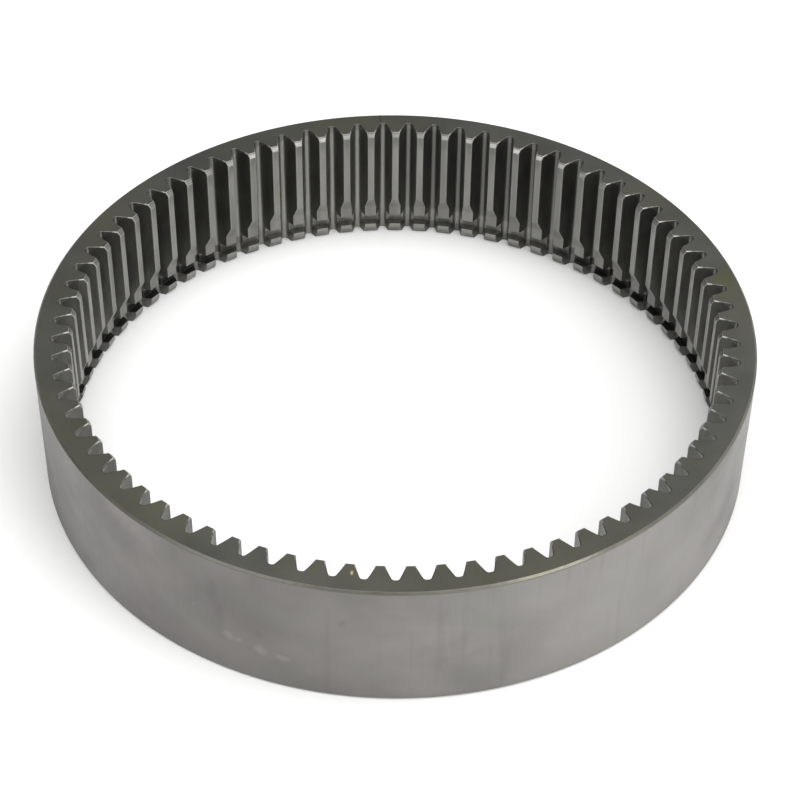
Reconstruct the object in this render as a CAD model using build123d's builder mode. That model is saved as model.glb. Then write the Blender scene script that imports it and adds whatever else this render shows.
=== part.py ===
# Internal ring gear of a planetary reduction: one steel ring, turned all over,
# with straight involute teeth cut on the inside.
# Millimetres. The origin is the centre of the lower face, +Z is the gear's axis,
# and one tooth is centred on +X.
from build123d import *
from math import acos, cos, pi, radians, sin, tan
import os

# Teeth
module = 3.5
teeth = 75
pressure_angle = 20.0
# In modules. A positive shift moves the teeth of an internal gear outwards.
profile_shift = 0.15
addendum_factor = 1.0
dedendum_factor = 1.25
# Each tooth space is wider than its share of the pitch circle by this much.
backlash = 0.2
# The flanks end this far short of the root circle, and one arc joins them there.
root_rounding = 0.3

# Ring
face_width = 57.7
# Wall left outside the tooth roots: the outside diameter comes to 286.
rim_thickness = 6.85
outer_chamfer = 0.9

# Turned on the tooth ends. Heights follow each other upwards from the lower face.
lead_in_depth = 1.75
lead_in_height = 3.2
stub_land = 2.1
groove_width = 4.8
groove_depth = 3.3
relief_depth = 3.0
relief_land = 5.2
relief_cone = 6.3
tip_chamfer_depth = 1.3
tip_chamfer_height = 1.9

# How far a tooth space is cut past the tooth tips, into the open bore
cutter_overlap = 1.0

# Circles of the gear
pitch_radius = module * teeth / 2
base_radius = pitch_radius * cos(radians(pressure_angle))
tip_radius = pitch_radius - (addendum_factor - profile_shift) * module
root_radius = pitch_radius + (dedendum_factor + profile_shift) * module
outer_radius = root_radius + rim_thickness

# Circles and heights of the turned steps
relief_radius = tip_radius + relief_depth
groove_radius = relief_radius + groove_depth
lead_in_radius = relief_radius + lead_in_depth
groove_bottom = lead_in_height + stub_land
groove_top = groove_bottom + groove_width
relief_top = groove_top + relief_land
cone_top = relief_top + relief_cone

# Width of a tooth space, measured along the pitch circle
space_width = module * (pi / 2 + 2 * profile_shift * tan(radians(pressure_angle))) + backlash


def involute(angle):
    return tan(angle) - angle


def half_space(radius):
    """Half of the angle that a tooth space takes at this radius, in radians."""
    flank_angle = acos(base_radius / radius)
    at_pitch = space_width / (2 * pitch_radius)
    return at_pitch + involute(radians(pressure_angle)) - involute(flank_angle)


def flank_point(radius, side):
    angle = side * half_space(radius)
    return (radius * cos(angle), radius * sin(angle))


def flank_direction(radius, side):
    angle = side * (half_space(radius) - acos(base_radius / radius))
    return (cos(angle), sin(angle))


def flank(side):
    """An involute, from just inside the tooth tips outwards to the rounded bottom."""
    start_radius = max(base_radius, tip_radius - cutter_overlap)
    end_radius = root_radius - root_rounding
    middle_radius = (start_radius + end_radius) / 2
    return Spline(
        [flank_point(radius, side) for radius in (start_radius, middle_radius, end_radius)],
        tangents=[flank_direction(start_radius, side), flank_direction(end_radius, side)],
    )


# One tooth space, symmetric about +X
with BuildSketch() as tooth_space:
    with BuildLine():
        lower_flank = flank(-1)
        upper_flank = flank(1)
        ThreePointArc(lower_flank @ 1, (root_radius, 0), upper_flank @ 1)
        Line(upper_flank @ 0, lower_flank @ 0)
    make_face()

with BuildPart() as ring_gear:
    # The turned blank, with every step of its bore
    with BuildSketch(Plane.XZ):
        with BuildLine():
            Polyline(
                (lead_in_radius, 0),
                (outer_radius, 0),
                (outer_radius, face_width),
                (tip_radius + tip_chamfer_depth, face_width),
                (tip_radius, face_width - tip_chamfer_height),
                (tip_radius, cone_top),
                (relief_radius, relief_top),
                (relief_radius, groove_top),
                (groove_radius, groove_top),
                (groove_radius, groove_bottom),
                (relief_radius, groove_bottom),
                (relief_radius, lead_in_height),
                close=True,
            )
        make_face()
    revolve(axis=Axis.Z)
    rim_edges = ring_gear.edges().filter_by(GeomType.CIRCLE).sort_by(SortBy.RADIUS)[-2:]
    chamfer(rim_edges, outer_chamfer)

    # The tooth spaces, cut through the whole width
    with BuildSketch():
        with PolarLocations(0, teeth, start_angle=180 / teeth):
            add(tooth_space.sketch)
    extrude(amount=face_width, mode=Mode.SUBTRACT)

ring_gear.part.label = "ring_gear"

os.makedirs("parts", exist_ok=True)
export_step(ring_gear.part, "parts/ring_gear.step")
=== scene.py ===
# Internal ring gear of a planetary reduction, dressed for its picture.
# Metres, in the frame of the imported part: the lower face is on z = 0, the axis is Z, one tooth is on +X.
import bmesh
import bpy
from math import acos, atan2, cos, pi, radians, sin, tan
from mathutils import Matrix, Vector


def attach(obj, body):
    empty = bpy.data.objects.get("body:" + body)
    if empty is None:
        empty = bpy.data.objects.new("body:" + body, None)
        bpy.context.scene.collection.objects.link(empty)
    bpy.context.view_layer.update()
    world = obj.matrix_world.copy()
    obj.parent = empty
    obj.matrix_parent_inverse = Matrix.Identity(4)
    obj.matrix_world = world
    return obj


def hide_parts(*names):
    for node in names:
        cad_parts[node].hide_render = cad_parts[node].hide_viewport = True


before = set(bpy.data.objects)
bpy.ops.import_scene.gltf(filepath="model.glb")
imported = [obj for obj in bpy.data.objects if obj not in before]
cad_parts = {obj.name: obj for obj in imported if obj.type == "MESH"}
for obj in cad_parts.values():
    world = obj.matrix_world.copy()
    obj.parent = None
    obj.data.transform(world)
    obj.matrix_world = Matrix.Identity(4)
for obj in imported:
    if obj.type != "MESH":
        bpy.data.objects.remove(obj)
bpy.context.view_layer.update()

# One tooth and its share of the ring
# The ring is alloy steel, forged and turned. Its 75 teeth are shaped on the inside, straight through its
# width, and the wall behind the tooth roots is plain. One tooth is drawn here from above, root to root.
mm = 0.001
teeth = 75
module = 3.5 * mm
pitch_radius = module * teeth / 2
pressure_angle = radians(20)
profile_shift = 0.15
addendum = 1.0
dedendum = 1.25
backlash = 0.2 * mm
rim_thickness = 6.85 * mm
base_radius = pitch_radius * cos(pressure_angle)
tip_radius = pitch_radius - (addendum - profile_shift) * module
root_radius = pitch_radius + (dedendum + profile_shift) * module
outer_radius = root_radius + rim_thickness
face_width = 57.7 * mm
half_pitch = pi / teeth
# The flanks start inside the tip circle, because the tips are turned to size afterwards.
flank_start = 127.2 * mm
flank_steps = [128.8 * mm, 129.7 * mm, 130.8 * mm, 132.1 * mm, 134.1 * mm, 135.0 * mm]
root_fillet_reach = 0.67 * mm
wall_steps = 4
tolerance = 0.01 * mm
angle_tolerance = 0.0001


def half_tooth(radius):
    """Half of the angle that a tooth takes at this radius, between two involutes."""
    space = module * (pi / 2 + 2 * profile_shift * tan(pressure_angle)) + backlash
    flank_angle = acos(base_radius / radius)
    unrolled = tan(pressure_angle) - pressure_angle - tan(flank_angle) + flank_angle
    return half_pitch - space / (2 * pitch_radius) - unrolled


def on_circle(radius, angle, height=0.0):
    return Vector((radius * cos(angle), radius * sin(angle), height))


def draw_outline(name, corners):
    """Draws a flat closed outline by extruding one corner to the next, and fills it."""
    bpy.ops.object.select_all(action="DESELECT")
    bpy.ops.mesh.primitive_plane_add(size=mm, location=(0, 0, 0))
    drawn = bpy.context.object
    drawn.name = name
    bpy.ops.object.mode_set(mode="EDIT")
    bpy.ops.mesh.select_all(action="SELECT")
    bpy.ops.mesh.merge(type="CENTER")
    bpy.ops.transform.translate(value=corners[0])
    for before, after in zip(corners, corners[1:]):
        bpy.ops.mesh.extrude_vertices_move(TRANSFORM_OT_translate={"value": after - before})
    bpy.ops.mesh.select_all(action="SELECT")
    bpy.ops.mesh.edge_face_add()
    bpy.ops.object.mode_set(mode="OBJECT")
    return drawn


def extrude_all(drawn, step):
    bpy.ops.object.select_all(action="DESELECT")
    drawn.select_set(True)
    bpy.context.view_layer.objects.active = drawn
    bpy.ops.object.mode_set(mode="EDIT")
    bpy.ops.mesh.select_all(action="SELECT")
    bpy.ops.mesh.extrude_region_move(TRANSFORM_OT_translate={"value": step})
    bpy.ops.mesh.select_all(action="SELECT")
    bpy.ops.mesh.normals_make_consistent(inside=False)
    bpy.ops.object.mode_set(mode="OBJECT")


def select_in_code(drawn, kind, wanted):
    """In edit mode, selects the faces, edges or vertices for which wanted is true, and nothing else."""
    bpy.ops.mesh.select_mode(type=kind)
    bpy.ops.mesh.select_all(action="DESELECT")
    shape = bmesh.from_edit_mesh(drawn.data)
    items = {"VERT": shape.verts, "EDGE": shape.edges, "FACE": shape.faces}[kind]
    for item in items:
        if wanted(item):
            item.select_set(True)
    shape.select_flush_mode()
    bmesh.update_edit_mesh(drawn.data)


def at_root_corner(vertex):
    """Whether a corner of the outline is where a flank meets the root circle."""
    on_root_circle = abs(vertex.co.xy.length - root_radius) < tolerance
    angle = abs(atan2(vertex.co.y, vertex.co.x))
    return on_root_circle and abs(angle - half_tooth(root_radius)) < angle_tolerance


right_side = [on_circle(flank_start, half_tooth(flank_start))]
for radius in flank_steps:
    right_side.append(on_circle(radius, half_tooth(radius)))
right_side.append(on_circle(root_radius, half_tooth(root_radius)))
right_side.append(on_circle(root_radius, half_pitch))
left_side = [Vector((corner.x, -corner.y, 0)) for corner in reversed(right_side)]
wall = []
for step in range(wall_steps + 1):
    wall.append(on_circle(outer_radius, half_pitch - step * 2 * half_pitch / wall_steps))
tooth = draw_outline("ring_gear_machined", right_side + wall + left_side)

# The roots are rounded by the cutter's tip.
bpy.ops.object.mode_set(mode="EDIT")
select_in_code(tooth, "VERT", at_root_corner)
bpy.ops.mesh.bevel(offset=root_fillet_reach, segments=5, profile=0.5, affect="VERTICES")
bpy.ops.object.mode_set(mode="OBJECT")
extrude_all(tooth, (0, 0, face_width))

# The turned tooth ends
# The blank's bore was turned before the teeth were cut. Upwards from the lower face it has a lead-in, a short
# land, a groove for a retaining ring, a relieved land and a cone up to full height. The upper end is chamfered.
relief_depth = 3.0 * mm
groove_depth = 3.3 * mm
lead_in_depth = 1.75 * mm
relief_radius = tip_radius + relief_depth
groove_radius = relief_radius + groove_depth
lead_in_radius = relief_radius + lead_in_depth
lead_in_top = 3.2 * mm
groove_bottom = 5.3 * mm
groove_top = 10.1 * mm
relief_top = 15.3 * mm
cone_top = 21.6 * mm
tip_chamfer_depth = 1.3 * mm
tip_chamfer_height = 1.9 * mm
# The tool reaches from inside the bore to the turned steps, and runs past both faces and both sides of the tooth.
overrun = 1.0 * mm
tool_back = 120 * mm
tool_half_width = 9 * mm
lead_in_overrun = overrun * (lead_in_radius - relief_radius) / lead_in_top
tip_chamfer_overrun = overrun * tip_chamfer_depth / tip_chamfer_height
turning_path = [
    (tool_back, -overrun),
    (lead_in_radius + lead_in_overrun, -overrun),
    (relief_radius, lead_in_top),
    (relief_radius, groove_bottom),
    (groove_radius, groove_bottom),
    (groove_radius, groove_top),
    (relief_radius, groove_top),
    (relief_radius, relief_top),
    (tip_radius, cone_top),
    (tip_radius, face_width - tip_chamfer_height),
    (tip_radius + tip_chamfer_depth + tip_chamfer_overrun, face_width + overrun),
    (tool_back, face_width + overrun),
]
turning_tool = draw_outline("turning_tool", [Vector((x, -tool_half_width, z)) for x, z in turning_path])
extrude_all(turning_tool, (0, 2 * tool_half_width, 0))

bpy.ops.object.select_all(action="DESELECT")
tooth.select_set(True)
bpy.context.view_layer.objects.active = tooth
turning = tooth.modifiers.new("turning", "BOOLEAN")
turning.operation = "DIFFERENCE"
turning.solver = "EXACT"
turning.object = turning_tool
bpy.ops.object.modifier_apply(modifier=turning.name)
bpy.data.objects.remove(turning_tool)

# What each surface of the ring is
# The finish follows the tool that cut it: ground wall, turned ends and tooth tips, shaped flanks and roots.
# The faces where the tooth meets its neighbours are no surface of the ring, and come off here.
SURFACES = ["ground_wall", "turned_end", "turned_tip", "tip_chamfer", "shaped_flank", "turned_groove",
            "outer_chamfer", "broken_edge"]
for surface in SURFACES:
    tooth.data.materials.append(bpy.data.materials.new(surface))
end_margin = 1.0 * mm
wall_margin = 0.5 * mm
# Further out than every tooth tip, and further in than the groove's floor
past_tips = relief_radius + 2.5 * mm


def surface_of(face):
    """The number of the finish on a face of the tooth, from its place and its normal."""
    middle = face.calc_center_median()
    radius = middle.xy.length
    outwards = face.normal.x * middle.x / radius + face.normal.y * middle.y / radius
    level = abs(face.normal.z) > 0.99
    faces_the_axis = outwards < -0.5 and abs(face.normal.y) < 0.001
    if level and end_margin < middle.z < face_width - end_margin:
        return SURFACES.index("turned_groove")
    if level:
        return SURFACES.index("turned_end")
    if radius > outer_radius - wall_margin:
        return SURFACES.index("ground_wall")
    if faces_the_axis and middle.z > face_width - tip_chamfer_height:
        return SURFACES.index("tip_chamfer")
    if faces_the_axis and radius > past_tips and middle.z < groove_top:
        return SURFACES.index("turned_groove")
    if faces_the_axis and radius < past_tips:
        return SURFACES.index("turned_tip")
    return SURFACES.index("shaped_flank")


def meets_a_neighbour(face):
    """Whether a face is where the tooth's share of the ring ends."""
    middle = face.calc_center_median()
    at_the_side = abs(abs(atan2(middle.y, middle.x)) - half_pitch) < angle_tolerance
    return at_the_side and abs(face.normal.y) > 0.9


bpy.ops.object.mode_set(mode="EDIT")
select_in_code(tooth, "FACE", meets_a_neighbour)
bpy.ops.mesh.delete(type="FACE")
shape = bmesh.from_edit_mesh(tooth.data)
for face in shape.faces:
    face.material_index = surface_of(face)
bmesh.update_edit_mesh(tooth.data)

# The whole ring, tooth by tooth
# There are 75 copies of the tooth, and the joints between them are welded, so the ring is one closed skin. Both
# outer corners are chamfered on the lathe, and every sharp edge is broken with a file and a brush, most of all
# round the upper ends of the tooth spaces.
turn_to_last = (teeth - 1) * 2 * half_pitch
sharp_angle = radians(30)
outer_chamfer = 0.9 * mm
upper_break = 0.5 * mm
wall_break = 0.25 * mm
tip_break = 0.32 * mm
edge_break = 0.12 * mm
turned_break = 0.04 * mm


def along_outer_corner(edge):
    """Whether an edge runs round the upper or the lower corner of the outer wall."""
    outermost = all(vertex.co.xy.length > outer_radius - tolerance for vertex in edge.verts)
    return outermost and abs(edge.verts[0].co.z - edge.verts[1].co.z) < tolerance


def break_of(edge):
    """How far an edge of the ring is broken."""
    surfaces = [SURFACES[face.material_index] for face in edge.link_faces]
    if "outer_chamfer" in surfaces:
        return wall_break if "ground_wall" in surfaces else turned_break
    if "shaped_flank" not in surfaces:
        return edge_break
    if "tip_chamfer" in surfaces:
        return tip_break
    if "turned_end" in surfaces and all(vertex.co.z > face_width - tolerance for vertex in edge.verts):
        return upper_break
    if "turned_tip" in surfaces and all(vertex.co.xy.length < relief_radius + tolerance for vertex in edge.verts):
        return tip_break
    return edge_break


bpy.ops.mesh.select_all(action="SELECT")
bpy.ops.mesh.spin(steps=teeth - 1, dupli=True, angle=turn_to_last, center=(0, 0, 0), axis=(0, 0, 1))
bpy.ops.mesh.select_all(action="SELECT")
bpy.ops.mesh.remove_doubles(threshold=tolerance)
bpy.ops.mesh.normals_make_consistent(inside=False)

select_in_code(tooth, "EDGE", along_outer_corner)
bpy.ops.mesh.bevel(offset=outer_chamfer, segments=1, affect="EDGES", material=SURFACES.index("outer_chamfer"))
bpy.ops.object.mode_set(mode="OBJECT")

shape = bmesh.new()
shape.from_mesh(tooth.data)
weights = shape.edges.layers.float.new("bevel_weight_edge")
for edge in shape.edges:
    if edge.is_manifold and edge.calc_face_angle() > sharp_angle:
        edge[weights] = break_of(edge) / upper_break
shape.to_mesh(tooth.data)
shape.free()

broken = tooth.modifiers.new("broken_edges", "BEVEL")
broken.limit_method = "WEIGHT"
broken.width = upper_break
broken.segments = 2
broken.use_clamp_overlap = False
broken.material = SURFACES.index("broken_edge")
bpy.ops.object.modifier_apply(modifier=broken.name)
bpy.ops.object.shade_smooth()
weighted = tooth.modifiers.new("flat_faces", "WEIGHTED_NORMAL")
weighted.weight = 100
weighted.keep_sharp = False
bpy.ops.object.modifier_apply(modifier=weighted.name)
ring = tooth

# Finishes
# Bare steel under a thin film of oil. Colours are what the clean and the stained metal reflect, and every
# pattern reads the ring's own coordinates, so it stays on the metal from all sides. Places on the ring are given
# as an angle in degrees, a radius and a height, and the near side of the ring is at 270 degrees.


def add_node(tree, kind, inputs, **settings):
    """A node with these settings. An input is a plain value, or another node's output, which is linked."""
    node = tree.nodes.new(kind)
    for name, value in settings.items():
        setattr(node, name, value)
    for name, value in inputs.items():
        if isinstance(value, bpy.types.NodeSocket):
            tree.links.new(value, node.inputs[name])
        else:
            node.inputs[name].default_value = value
    return node


def calc(tree, operation, first, second=0.0):
    return add_node(tree, "ShaderNodeMath", {0: first, 1: second}, operation=operation).outputs[0]


def fade(tree, value, start, end, low=0.0, high=1.0):
    """Goes smoothly from low, where value is at start, to high, where it is at end."""
    inputs = {"Value": value, "From Min": start, "From Max": end, "To Min": low, "To Max": high}
    return add_node(tree, "ShaderNodeMapRange", inputs, interpolation_type="SMOOTHSTEP").outputs[0]


def blend(tree, factor, first, second):
    """The first colour where factor is 0, and the second where it is 1."""
    node = tree.nodes.new("ShaderNodeMix")
    node.data_type = "RGBA"
    for place, value in ((0, factor), (6, first), (7, second)):
        if isinstance(value, bpy.types.NodeSocket):
            tree.links.new(value, node.inputs[place])
        else:
            node.inputs[place].default_value = (*value, 1)
    return node.outputs[2]


def clouds(tree, place, size, seed, detail=3.0):
    """Soft patches of this size along X, Y and Z, in millimetres."""
    per_metre = [1 / (length * mm) for length in size]
    scaled = add_node(tree, "ShaderNodeVectorMath", {0: place, 1: per_metre}, operation="MULTIPLY")
    inputs = {"Vector": scaled.outputs[0], "W": seed, "Scale": 1.0, "Detail": detail}
    return add_node(tree, "ShaderNodeTexNoise", inputs, noise_dimensions="4D").outputs[0]


def tool_marks(tree, distance, pitch, seed):
    """Fine parallel lines, a pitch apart in millimetres, across the direction in which distance grows."""
    turns = calc(tree, "MULTIPLY_ADD", distance, 1 / (pitch * mm))
    turns.node.inputs[2].default_value = seed
    inputs = {"W": turns, "Scale": 1.0, "Detail": 2.0}
    return add_node(tree, "ShaderNodeTexNoise", inputs, noise_dimensions="1D").outputs[0]


def ragged(tree, place, size, push):
    """The place of each point, pushed about in millimetres, so that what is drawn there gets uneven edges."""
    cloud = add_node(tree, "ShaderNodeTexNoise", {"Vector": place, "Scale": 1 / (size * mm), "Detail": 2.0})
    inputs = {0: cloud.outputs["Color"], 1: (0.5, 0.5, 0.5)}
    centred = add_node(tree, "ShaderNodeVectorMath", inputs, operation="SUBTRACT")
    pushed = add_node(tree, "ShaderNodeVectorMath", {0: centred.outputs[0]}, operation="SCALE")
    pushed.inputs["Scale"].default_value = 2 * push * mm
    inputs = {0: place, 1: pushed.outputs[0]}
    return add_node(tree, "ShaderNodeVectorMath", inputs, operation="ADD").outputs[0]


def spot(tree, place, angle, radius, height, reach, soft=0.5):
    """1 at a point of the ring and 0 at its reach, in millimetres along X, Y and Z."""
    centre = on_circle(radius, radians(angle), height)
    away = add_node(tree, "ShaderNodeVectorMath", {0: place, 1: centre}, operation="SUBTRACT")
    per_metre = [1 / (length * mm) for length in reach]
    scaled = add_node(tree, "ShaderNodeVectorMath", {0: away.outputs[0], 1: per_metre}, operation="MULTIPLY")
    length = add_node(tree, "ShaderNodeVectorMath", {0: scaled.outputs[0]}, operation="LENGTH")
    return fade(tree, length.outputs["Value"], 1.0, soft)


def steel(name):
    """The finish of this name: its tree and shader, and the place, radius and height of each point."""
    material = bpy.data.materials[name]
    material.use_nodes = True
    tree = material.node_tree
    shader = tree.nodes["Principled BSDF"]
    shader.inputs["Metallic"].default_value = 1.0
    place = tree.nodes.new("ShaderNodeTexCoord").outputs["Object"]
    flat = add_node(tree, "ShaderNodeVectorMath", {0: place, 1: (1, 1, 0)}, operation="MULTIPLY")
    radius = add_node(tree, "ShaderNodeVectorMath", {0: flat.outputs[0]}, operation="LENGTH").outputs["Value"]
    height = add_node(tree, "ShaderNodeSeparateXYZ", {0: place}).outputs["Z"]
    return tree, shader, place, radius, height


def finish(tree, shader, color, roughness, relief, depth):
    """Joins a finish to its shader. relief is raised by depth, in metres."""
    tree.links.new(color, shader.inputs["Base Color"])
    tree.links.new(roughness, shader.inputs["Roughness"])
    bump = add_node(tree, "ShaderNodeBump", {"Height": relief, "Strength": 1.0, "Distance": depth})
    tree.links.new(bump.outputs[0], shader.inputs["Normal"])


# The outer wall is ground, then handled: cloudy, with faint upright smears, dark marks, and dabs where oil
# dried. It carries painted light at the right and painted shade at the left.
tree, shader, place, radius, height = steel("ground_wall")
patches = clouds(tree, place, (34, 34, 26), 1.0)
smears = clouds(tree, place, (5, 5, 70), 2.0)
tints = clouds(tree, place, (40, 40, 30), 3.0)
grinding = tool_marks(tree, height, 0.22, 5.0)
scuffs = clouds(tree, place, (2.2, 2.2, 1.4), 4.0, 4.0)
wavy = ragged(tree, place, 5.0, 2.5)
color = blend(tree, fade(tree, patches, 0.3, 0.7), (0.205, 0.197, 0.189), (0.262, 0.251, 0.241))
color = blend(tree, fade(tree, tints, 0.45, 0.75, 0.0, 0.5), color, (0.232, 0.243, 0.225))
painted_wall_lighting = [
    (306, 78, 0.75, (0.315, 0.306, 0.293)),
    (250, 80, 0.55, (0.182, 0.175, 0.167)),
    (196, 54, 0.8, (0.142, 0.137, 0.130)),
]
# Painted light at the right of the wall and painted shade at its left
for angle, reach, amount, tone in painted_wall_lighting:
    shade = spot(tree, place, angle, outer_radius, face_width / 2, (reach, reach, 3 * reach), 0.1)
    color = blend(tree, calc(tree, "MULTIPLY", shade, amount), color, tone)
color = blend(tree, fade(tree, smears, 0.52, 0.8, 0.0, 0.45), color, (0.175, 0.168, 0.158))
color = blend(tree, fade(tree, scuffs, 0.62, 0.78, 0.0, 0.35), color, (0.33, 0.325, 0.31))
light_patch = spot(tree, wavy, 295.2, outer_radius, 18.2 * mm, (6, 6, 4), 0.1)
color = blend(tree, calc(tree, "MULTIPLY", light_patch, 0.3), color, (0.33, 0.32, 0.30))
green_patch = spot(tree, wavy, 283.8, outer_radius, 39.7 * mm, (7, 7, 6), 0.1)
color = blend(tree, calc(tree, "MULTIPLY", green_patch, 0.4), color, (0.215, 0.240, 0.200))
dark_marks = [(243.3, 41, 3.4, 10), (244.3, 30, 3.8, 13), (251.0, 26, 2.6, 3), (263.5, 40, 2.6, 2)]
for angle, up, wide, tall in dark_marks:
    dark_mark = spot(tree, wavy, angle, outer_radius, up * mm, (wide, wide, tall), 0.1)
    color = blend(tree, calc(tree, "MULTIPLY", dark_mark, 0.45), color, (0.150, 0.147, 0.138))
dabs = [(245.9, 19.5, 3.2), (247.5, 19.0, 2.6), (251.1, 17.5, 4.2), (254.5, 15.5, 3.4)]
for angle, up, size in dabs:
    dab = spot(tree, wavy, angle, outer_radius, up * mm, (size, size, size * 0.8), 0.1)
    color = blend(tree, calc(tree, "MULTIPLY", dab, 0.4), color, (0.33, 0.32, 0.30))
roughness = fade(tree, patches, 0.25, 0.75, 0.56, 0.46)
relief = calc(tree, "ADD", grinding, calc(tree, "MULTIPLY", scuffs, 0.8))
finish(tree, shader, color, roughness, relief, 0.010 * mm)

# The end faces are turned, so their marks are rings. Oil has dried olive on them in patches. The upper one has
# a stain at the right, a burnt mark and a pale fleck on a near tooth, and a scratch that ends in a nick behind.
tree, shader, place, radius, height = steel("turned_end")
patches = clouds(tree, place, (26, 26, 26), 11.0)
oil = clouds(tree, place, (48, 48, 48), 12.0, 4.0)
turning_marks = tool_marks(tree, radius, 0.35, 3.0)
specks = clouds(tree, place, (1.6, 1.6, 1.6), 13.0, 3.0)
color = blend(tree, fade(tree, patches, 0.3, 0.7), (0.123, 0.123, 0.110), (0.160, 0.160, 0.146))
color = blend(tree, fade(tree, oil, 0.45, 0.7, 0.0, 0.7), color, (0.139, 0.135, 0.094))
near_left = spot(tree, place, 220, 138 * mm, face_width, (60, 60, 60), 0.3)
color = blend(tree, calc(tree, "MULTIPLY", near_left, 0.45), color, (0.149, 0.146, 0.097))
near_right = spot(tree, place, 288, 138 * mm, face_width, (80, 80, 80), 0.3)
color = blend(tree, calc(tree, "MULTIPLY", near_right, 0.5), color, (0.146, 0.142, 0.096))
stain = spot(tree, ragged(tree, place, 6.0, 2.0), 14.2, 137.0 * mm, face_width, (6, 9, 6), 0.2)
color = blend(tree, calc(tree, "MULTIPLY", stain, 0.7), color, (0.137, 0.137, 0.071))
burnt = spot(tree, ragged(tree, place, 2.0, 0.5), 265.1, 131.7 * mm, face_width, (1.5, 2.4, 1.0), 0.3)
color = blend(tree, calc(tree, "MULTIPLY", burnt, 0.7), color, (0.150, 0.112, 0.066))
fleck = spot(tree, ragged(tree, place, 1.5, 0.3), 264.5, 133.8 * mm, face_width, (0.75, 1.3, 1.0), 0.3)
color = blend(tree, calc(tree, "MULTIPLY", fleck, 0.9), color, (0.80, 0.70, 0.38))
color = blend(tree, fade(tree, turning_marks, 0.35, 0.65, 0.0, 0.25), color, (0.12, 0.12, 0.105))
color = blend(tree, fade(tree, specks, 0.62, 0.75, 0.0, 0.4), color, (0.10, 0.10, 0.085))
scratch_angle = 94.0
inputs = {0: place, 1: on_circle(1, radians(scratch_angle + 90))}
across = add_node(tree, "ShaderNodeVectorMath", inputs, operation="DOT_PRODUCT").outputs["Value"]
inputs = {0: place, 1: on_circle(1, radians(scratch_angle))}
along = add_node(tree, "ShaderNodeVectorMath", inputs, operation="DOT_PRODUCT").outputs["Value"]
on_line = fade(tree, calc(tree, "ABSOLUTE", across), 0.35 * mm, 0.1 * mm)
scratch = calc(tree, "MULTIPLY", on_line, fade(tree, along, 136.4 * mm, 137.0 * mm))
color = blend(tree, calc(tree, "MULTIPLY", scratch, 0.8), color, (0.05, 0.05, 0.045))
nick = spot(tree, place, scratch_angle, 141.9 * mm, face_width, (0.9, 0.9, 0.9), 0.5)
color = blend(tree, nick, color, (0.03, 0.03, 0.027))
roughness = fade(tree, oil, 0.3, 0.7, 0.38, 0.5)
finish(tree, shader, color, roughness, turning_marks, 0.012 * mm)

# The tooth tips were turned before the teeth were cut. Each has its own shade, and marks across its length.
# They are duller near the upper end, and the short lands below the groove carry painted light.
tree, shader, place, radius, height = steel("turned_tip")
shades = clouds(tree, place, (7, 7, 60), 21.0, 1.0)
film = clouds(tree, place, (12, 12, 16), 22.0)
turning_marks = tool_marks(tree, height, 0.3, 9.0)
color = blend(tree, fade(tree, shades, 0.3, 0.7), (0.195, 0.193, 0.178), (0.275, 0.272, 0.256))
color = blend(tree, fade(tree, film, 0.5, 0.75, 0.0, 0.6), color, (0.225, 0.222, 0.170))
color = blend(tree, fade(tree, turning_marks, 0.35, 0.65, 0.0, 0.2), color, (0.16, 0.16, 0.148))
color = blend(tree, fade(tree, height, 48 * mm, 54 * mm, 0.0, 0.6), color, (0.15, 0.149, 0.137))
above_lead_in = fade(tree, height, 2.9 * mm, 3.7 * mm)
below_groove = fade(tree, height, 5.8 * mm, groove_bottom)
painted_light_short_land = calc(tree, "MULTIPLY", above_lead_in, below_groove)
# Painted light on the short lands below the groove
color = blend(tree, calc(tree, "MULTIPLY", painted_light_short_land, 0.7), color, (0.335, 0.331, 0.308))
roughness = fade(tree, film, 0.3, 0.7, 0.40, 0.5)
finish(tree, shader, color, roughness, turning_marks, 0.012 * mm)

# The chamfers on the tooth tips are the brightest turned faces, with a painted highlight behind on the right.
# They carry painted shade at the left, and each is dark along its upper edge.
tree, shader, place, radius, height = steel("tip_chamfer")
shades = clouds(tree, place, (6, 6, 6), 31.0, 2.0)
turning_marks = tool_marks(tree, height, 0.22, 15.0)
color = blend(tree, fade(tree, shades, 0.3, 0.7), (0.28, 0.276, 0.256), (0.41, 0.406, 0.380))
# Painted shade on the chamfers at the left, and a painted highlight on them behind on the right
painted_shade_left = spot(tree, place, 146, tip_radius, face_width, (75, 75, 75), 0.5)
color = blend(tree, calc(tree, "MULTIPLY", painted_shade_left, 0.8), color, (0.15, 0.149, 0.138))
painted_highlight_right = spot(tree, place, 69, tip_radius, face_width, (44, 44, 44), 0.4)
color = blend(tree, calc(tree, "MULTIPLY", painted_highlight_right, 0.7), color, (0.56, 0.55, 0.52))
upper_edge = fade(tree, height, face_width - 0.55 * mm, face_width - 0.3 * mm)
color = blend(tree, upper_edge, color, (0.13, 0.13, 0.118))
roughness = fade(tree, shades, 0.3, 0.7, 0.45, 0.36)
finish(tree, shader, color, roughness, turning_marks, 0.008 * mm)


def painted_groove_shadow(tree, place, height):
    """Painted shadow along the groove, at the left and the right of the ring."""
    across = add_node(tree, "ShaderNodeSeparateXYZ", {0: place}).outputs["X"]
    sides = fade(tree, calc(tree, "ABSOLUTE", across), 58 * mm, 92 * mm, 0.0, 0.9)
    above_edge = fade(tree, height, 4.8 * mm, groove_bottom)
    band = calc(tree, "MULTIPLY", above_edge, fade(tree, height, 9.6 * mm, 8.2 * mm))
    return calc(tree, "MULTIPLY", sides, band)
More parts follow.
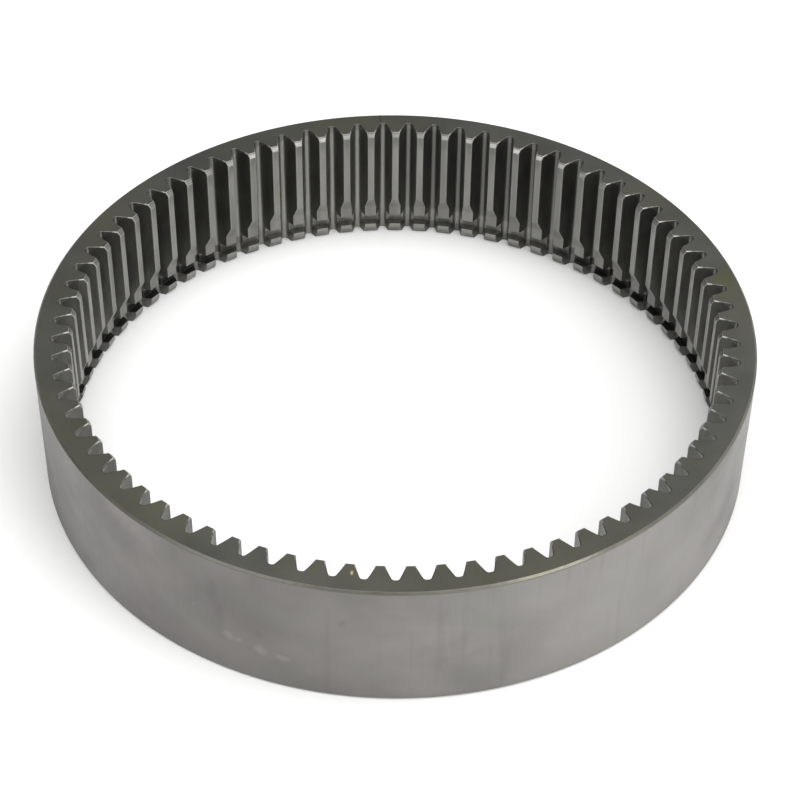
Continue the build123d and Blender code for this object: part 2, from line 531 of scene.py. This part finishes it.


# Flanks and roots carry the long strokes of the shaping cutter. The flanks are dark, partly from the oil that
# stays in them and partly as painted shade for the narrow tooth spaces. The roots are lighter, and so are the
# flanks beside the groove and at the upper end, where the brush reached further down the deeper it went.
tree, shader, place, radius, height = steel("shaped_flank")
strokes = clouds(tree, place, (0.22, 0.22, 40), 41.0, 2.0)
film = clouds(tree, place, (6, 6, 18), 42.0)
# The flanks' dark colour is partly oil and partly painted shade
color = blend(tree, fade(tree, film, 0.3, 0.7), (0.105, 0.104, 0.094), (0.155, 0.154, 0.140))
low_down = fade(tree, height, 46 * mm, 8 * mm)
root_color = blend(tree, low_down, (0.200, 0.199, 0.184), (0.290, 0.288, 0.267))
bright_roots = spot(tree, place, 109, root_radius, face_width / 2, (58, 58, 90), 0.4)
root_color = blend(tree, calc(tree, "MULTIPLY", bright_roots, 0.7), root_color, (0.400, 0.396, 0.370))
dull_roots = spot(tree, place, 75, root_radius, face_width / 2, (46, 46, 90), 0.4)
root_color = blend(tree, calc(tree, "MULTIPLY", dull_roots, 0.7), root_color, (0.150, 0.149, 0.137))
color = blend(tree, fade(tree, radius, 134.9 * mm, 136.0 * mm, 0.0, 0.85), color, root_color)
deep = fade(tree, radius, 133.9 * mm, 134.7 * mm)
low = calc(tree, "MULTIPLY", fade(tree, height, 3.4 * mm, 5.0 * mm), fade(tree, height, 12 * mm, 9.5 * mm))
beside_groove = calc(tree, "MULTIPLY", deep, low)
color = blend(tree, beside_groove, color, (0.300, 0.298, 0.277))
# A painted shadow along the groove darkens the flanks at the left and the right
color = blend(tree, painted_groove_shadow(tree, place, height), color, (0.030, 0.030, 0.027))
brushed_slant = 0.8
brushed_start = 54.0 * mm + brushed_slant * root_radius
uphill = calc(tree, "MULTIPLY_ADD", radius, brushed_slant)
tree.links.new(height, uphill.node.inputs[2])
brushed_end = fade(tree, uphill, brushed_start, brushed_start + 1.2 * mm, 0.0, 0.9)
color = blend(tree, brushed_end, color, (0.210, 0.208, 0.193))
color = blend(tree, fade(tree, strokes, 0.5, 0.75, 0.0, 0.35), color, (0.17, 0.17, 0.155))
roughness = fade(tree, strokes, 0.3, 0.7, 0.5, 0.4)
finish(tree, shader, color, roughness, strokes, 0.012 * mm)

# The groove is as light as the roots, with a little dirt, and a painted shadow along it at the left and the
# right.
tree, shader, place, radius, height = steel("turned_groove")
dirt = clouds(tree, place, (3.0, 3.0, 2.0), 51.0, 4.0)
turning_marks = tool_marks(tree, height, 0.3, 27.0)
color = blend(tree, fade(tree, dirt, 0.35, 0.75), (0.27, 0.268, 0.248), (0.16, 0.159, 0.145))
# Painted shadow along the groove at the left and the right
color = blend(tree, painted_groove_shadow(tree, place, height), color, (0.030, 0.030, 0.027))
roughness = fade(tree, dirt, 0.3, 0.7, 0.5, 0.6)
finish(tree, shader, color, roughness, turning_marks, 0.010 * mm)

# The corners of the outer wall are chamfered, rubbed bright in places, yellow with dried oil, and given a painted
# highlight at the front right.
tree, shader, place, radius, height = steel("outer_chamfer")
rubbed = clouds(tree, place, (16, 16, 16), 61.0, 4.0)
nicks = clouds(tree, place, (2.5, 2.5, 1.2), 62.0, 3.0)
color = blend(tree, fade(tree, rubbed, 0.35, 0.65), (0.12, 0.118, 0.102), (0.17, 0.166, 0.138))
worn = spot(tree, place, 240, outer_radius, face_width, (62, 62, 62), 0.4)
color = blend(tree, calc(tree, "MULTIPLY", worn, 0.5), color, (0.27, 0.265, 0.235))
# A painted highlight on the chamfer at the front right
painted_chamfer_highlight = spot(tree, place, 294, outer_radius, face_width, (26, 26, 26), 0.3)
color = blend(tree, calc(tree, "MULTIPLY", painted_chamfer_highlight, 0.65), color, (0.31, 0.30, 0.235))
color = blend(tree, fade(tree, nicks, 0.6, 0.72, 0.0, 0.6), color, (0.13, 0.128, 0.11))
roughness = fade(tree, nicks, 0.4, 0.7, 0.42, 0.55)
finish(tree, shader, color, roughness, nicks, 0.03 * mm)

# Broken edges are brushed, lighter than the flanks along the tips and brightest by the tip chamfers. Round the
# roots they are as dark as the flanks, and at the outer corner a little lighter.
tree, shader, place, radius, height = steel("broken_edge")
brushed = clouds(tree, place, (1.5, 1.5, 3.0), 71.0, 3.0)
color = blend(tree, fade(tree, brushed, 0.35, 0.65), (0.10, 0.099, 0.089), (0.16, 0.158, 0.144))
along_tip = fade(tree, radius, 131.8 * mm, 131.3 * mm)
color = blend(tree, along_tip, color, (0.27, 0.267, 0.249))
near_top = fade(tree, height, 54.6 * mm, 55.6 * mm)
by_chamfer = calc(tree, "MULTIPLY", fade(tree, radius, 131.6 * mm, 130.2 * mm), near_top)
color = blend(tree, by_chamfer, color, (0.38, 0.375, 0.35))
at_outer_corner = fade(tree, radius, 141 * mm, 142 * mm)
color = blend(tree, at_outer_corner, color, (0.185, 0.181, 0.164))
inside_wall = fade(tree, radius, 140 * mm, 138 * mm)
by_root = calc(tree, "MULTIPLY", fade(tree, radius, 133.5 * mm, 135.5 * mm), inside_wall)
color = blend(tree, by_root, color, (0.105, 0.104, 0.094))
roughness = fade(tree, brushed, 0.35, 0.65, 0.5, 0.38)
finish(tree, shader, color, roughness, brushed, 0.02 * mm)

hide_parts("ring_gear")
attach(ring, "root")

# Floor
# A plain pale matt table top, level with the ring's lower face and far larger than the picture.
floor_size = 12
bpy.ops.object.select_all(action="DESELECT")
bpy.ops.mesh.primitive_plane_add(size=floor_size, location=(0, 0, 0))
floor = bpy.context.object
floor.name = "floor"
floor_material = bpy.data.materials.new("pale_floor")
floor_material.use_nodes = True
floor_shader = floor_material.node_tree.nodes["Principled BSDF"]
floor_shader.inputs["Base Color"].default_value = (0.9, 0.9, 0.895, 1)
floor_shader.inputs["Roughness"].default_value = 0.9
floor.data.materials.append(floor_material)

# Studio light
# A large soft box nearly overhead, two weaker ones in front on the right and on the left, and a dim room that is
# brighter on the right.
box_distance = 2.2


def towards(azimuth, elevation):
    """A direction away from the ring, in degrees. Azimuth 0 is in front, and grows to the right."""
    level = cos(radians(elevation))
    return Vector((sin(radians(azimuth)) * level, -cos(radians(azimuth)) * level, sin(radians(elevation))))


def soft_box(name, azimuth, elevation, width, height, power):
    """A rectangular light in this direction, aimed at the ring."""
    away = towards(azimuth, elevation)
    bpy.ops.object.light_add(type="AREA", location=away * box_distance)
    light = bpy.context.object
    light.name = name
    light.rotation_euler = away.to_track_quat("Z", "Y").to_euler()
    light.data.shape = "RECTANGLE"
    light.data.size = width
    light.data.size_y = height
    light.data.energy = power


soft_box("key_light", 0, 82, 2.4, 2.0, 42)
soft_box("side_light", 50, 36, 1.1, 1.1, 7)
soft_box("left_light", -42, 29, 1.3, 0.8, 5.5)
world = bpy.data.worlds.new("studio")
bpy.context.scene.world = world
world.use_nodes = True
room = world.node_tree
background = room.nodes["Background"]
room_direction = room.nodes.new("ShaderNodeTexCoord").outputs["Generated"]
bright_side = towards(80, 20)
facing = add_node(room, "ShaderNodeVectorMath", {0: room_direction, 1: bright_side}, operation="DOT_PRODUCT")
strength = fade(room, facing.outputs["Value"], -0.1, 0.95, 0.30, 1.25)
room.links.new(strength, background.inputs["Strength"])
background.inputs["Color"].default_value = (1, 1, 1, 1)
bpy.context.scene.view_settings.view_transform = "Standard"

# Camera
# It stands where the photograph was taken from, fitted to the ring's outer circles and teeth.
camera_place = (9.33 * mm, -697.10 * mm, 666.98 * mm)
camera_heading = radians(0.595)
camera_tilt = radians(90 - 42.948)
camera_roll = radians(0.791)
camera_lens = 104.82
sensor_width = 36
bpy.ops.object.camera_add(location=camera_place)
camera = bpy.context.object
camera.name = "camera"
turn = Matrix.Rotation(camera_heading, 3, "Z") @ Matrix.Rotation(camera_tilt, 3, "X")
camera.rotation_euler = (turn @ Matrix.Rotation(camera_roll, 3, "Z")).to_euler()
camera.data.lens = camera_lens
camera.data.sensor_width = sensor_width
bpy.context.scene.camera = camera
